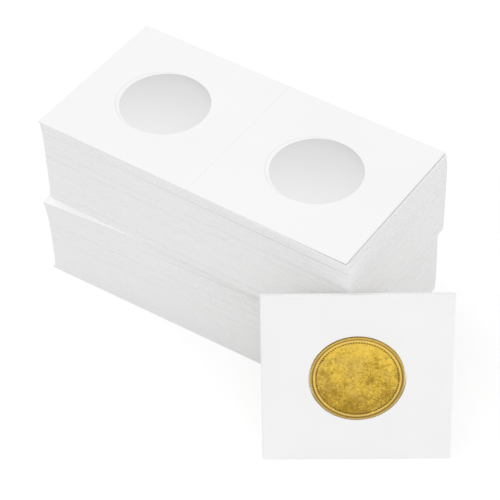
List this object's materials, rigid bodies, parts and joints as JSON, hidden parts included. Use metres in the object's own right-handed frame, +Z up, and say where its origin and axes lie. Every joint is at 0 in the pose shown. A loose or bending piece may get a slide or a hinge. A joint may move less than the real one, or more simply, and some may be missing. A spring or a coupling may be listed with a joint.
{
  "type": "coin holder flip",
  "caption": "Stacked open coin holder flips of white board with round film windows, and a closed flip with a coin leaning on the stack.",
  "frame": {"origin": "on the table under the middle of the stack, on the lowest board's lower face", "axes": "+X along the open flips towards the closed flip, +Y away from the closed flip, +Z up"},
  "size_m": [0.1395, 0.0838, 0.0585],
  "materials": {
    "board": "matt, smooth",
    "film": "clear, gloss",
    "coin": "worn satin"
  },
  "bodies": {
    "lower_packet_1": {"lower_boards_1": "board", "lower_films_1": "film"},
    "lower_packet_2": {"lower_boards_2": "board", "lower_films_2": "film"},
    "lower_packet_3": {"lower_boards_3": "board", "lower_films_3": "film"},
    "lower_packet_4": {"lower_boards_4": "board", "lower_films_4": "film"},
    "lower_packet_5": {"lower_boards_5": "board", "lower_films_5": "film"},
    "upper_packet_1": {"upper_boards_1": "board", "upper_films_1": "film"},
    "upper_packet_2": {"upper_boards_2": "board", "upper_films_2": "film"},
    "upper_packet_3": {"upper_boards_3": "board", "upper_films_3": "film"},
    "upper_packet_4": {"upper_boards_4": "board", "upper_films_4": "film"},
    "upper_packet_5": {"upper_boards_5": "board", "upper_films_5": "film"},
    "top_flip_right": {"top_right_board": "board", "top_right_film": "film", "top_crease": "board"},
    "top_flip_left": {"top_left_board": "board", "top_left_film": "film"},
    "closed_flip_rear": {"closed_rear_board": "board", "closed_rear_film": "film", "closed_crease": "board"},
    "closed_flip_front": {"closed_front_board": "board", "closed_front_film": "film"},
    "coin": {"coin": "coin"}
  },
  "joints": [
    {"name": "lower_packet_2_lift", "type": "slide", "parent": "lower_packet_1", "child": "lower_packet_2", "axis": [0, 0, 1], "range_m": [0, 0.015]},
    {"name": "lower_packet_3_lift", "type": "slide", "parent": "lower_packet_2", "child": "lower_packet_3", "axis": [0, 0, 1], "range_m": [0, 0.015]},
    {"name": "lower_packet_4_lift", "type": "slide", "parent": "lower_packet_3", "child": "lower_packet_4", "axis": [0, 0, 1], "range_m": [0, 0.015]},
    {"name": "lower_packet_5_lift", "type": "slide", "parent": "lower_packet_4", "child": "lower_packet_5", "axis": [0, 0, 1], "range_m": [0, 0.015]},
    {"name": "upper_packet_1_lift", "type": "slide", "parent": "lower_packet_5", "child": "upper_packet_1", "axis": [0, 0, 1], "range_m": [0, 0.015]},
    {"name": "upper_packet_2_lift", "type": "slide", "parent": "upper_packet_1", "child": "upper_packet_2", "axis": [0, 0, 1], "range_m": [0, 0.015]},
    {"name": "upper_packet_3_lift", "type": "slide", "parent": "upper_packet_2", "child": "upper_packet_3", "axis": [0, 0, 1], "range_m": [0, 0.015]},
    {"name": "upper_packet_4_lift", "type": "slide", "parent": "upper_packet_3", "child": "upper_packet_4", "axis": [0, 0, 1], "range_m": [0, 0.015]},
    {"name": "upper_packet_5_lift", "type": "slide", "parent": "upper_packet_4", "child": "upper_packet_5", "axis": [0, 0, 1], "range_m": [0, 0.015]},
    {"name": "top_flip_lift", "type": "slide", "parent": "upper_packet_5", "child": "top_flip_right", "axis": [0, 0, 1], "range_m": [0, 0.04]},
    {"name": "top_flip_fold", "type": "hinge", "parent": "top_flip_right", "child": "top_flip_left", "pos_m": [0, -0.00035, 0.05847], "axis": [0, 1, 0], "range_deg": [0, 180], "deforming": ["top_crease"]},
    {"name": "closed_flip_lift", "type": "slide", "parent": "lower_packet_1", "child": "closed_flip_rear", "axis": [0, 0, 1], "range_m": [0, 0.07]},
    {"name": "closed_flip_open", "type": "hinge", "parent": "closed_flip_rear", "child": "closed_flip_front", "pos_m": [0.04198, -0.05221, 0.00017], "axis": [0.1728, -0.2562, -0.9511], "range_deg": [0, 180], "deforming": ["closed_crease"]},
    {"name": "coin_turn", "type": "hinge", "parent": "closed_flip_rear", "child": "coin", "pos_m": [0.05865, -0.0315, 0.02433], "axis": [0.5318, -0.7885, 0.309], "continuous": true}
  ]
}
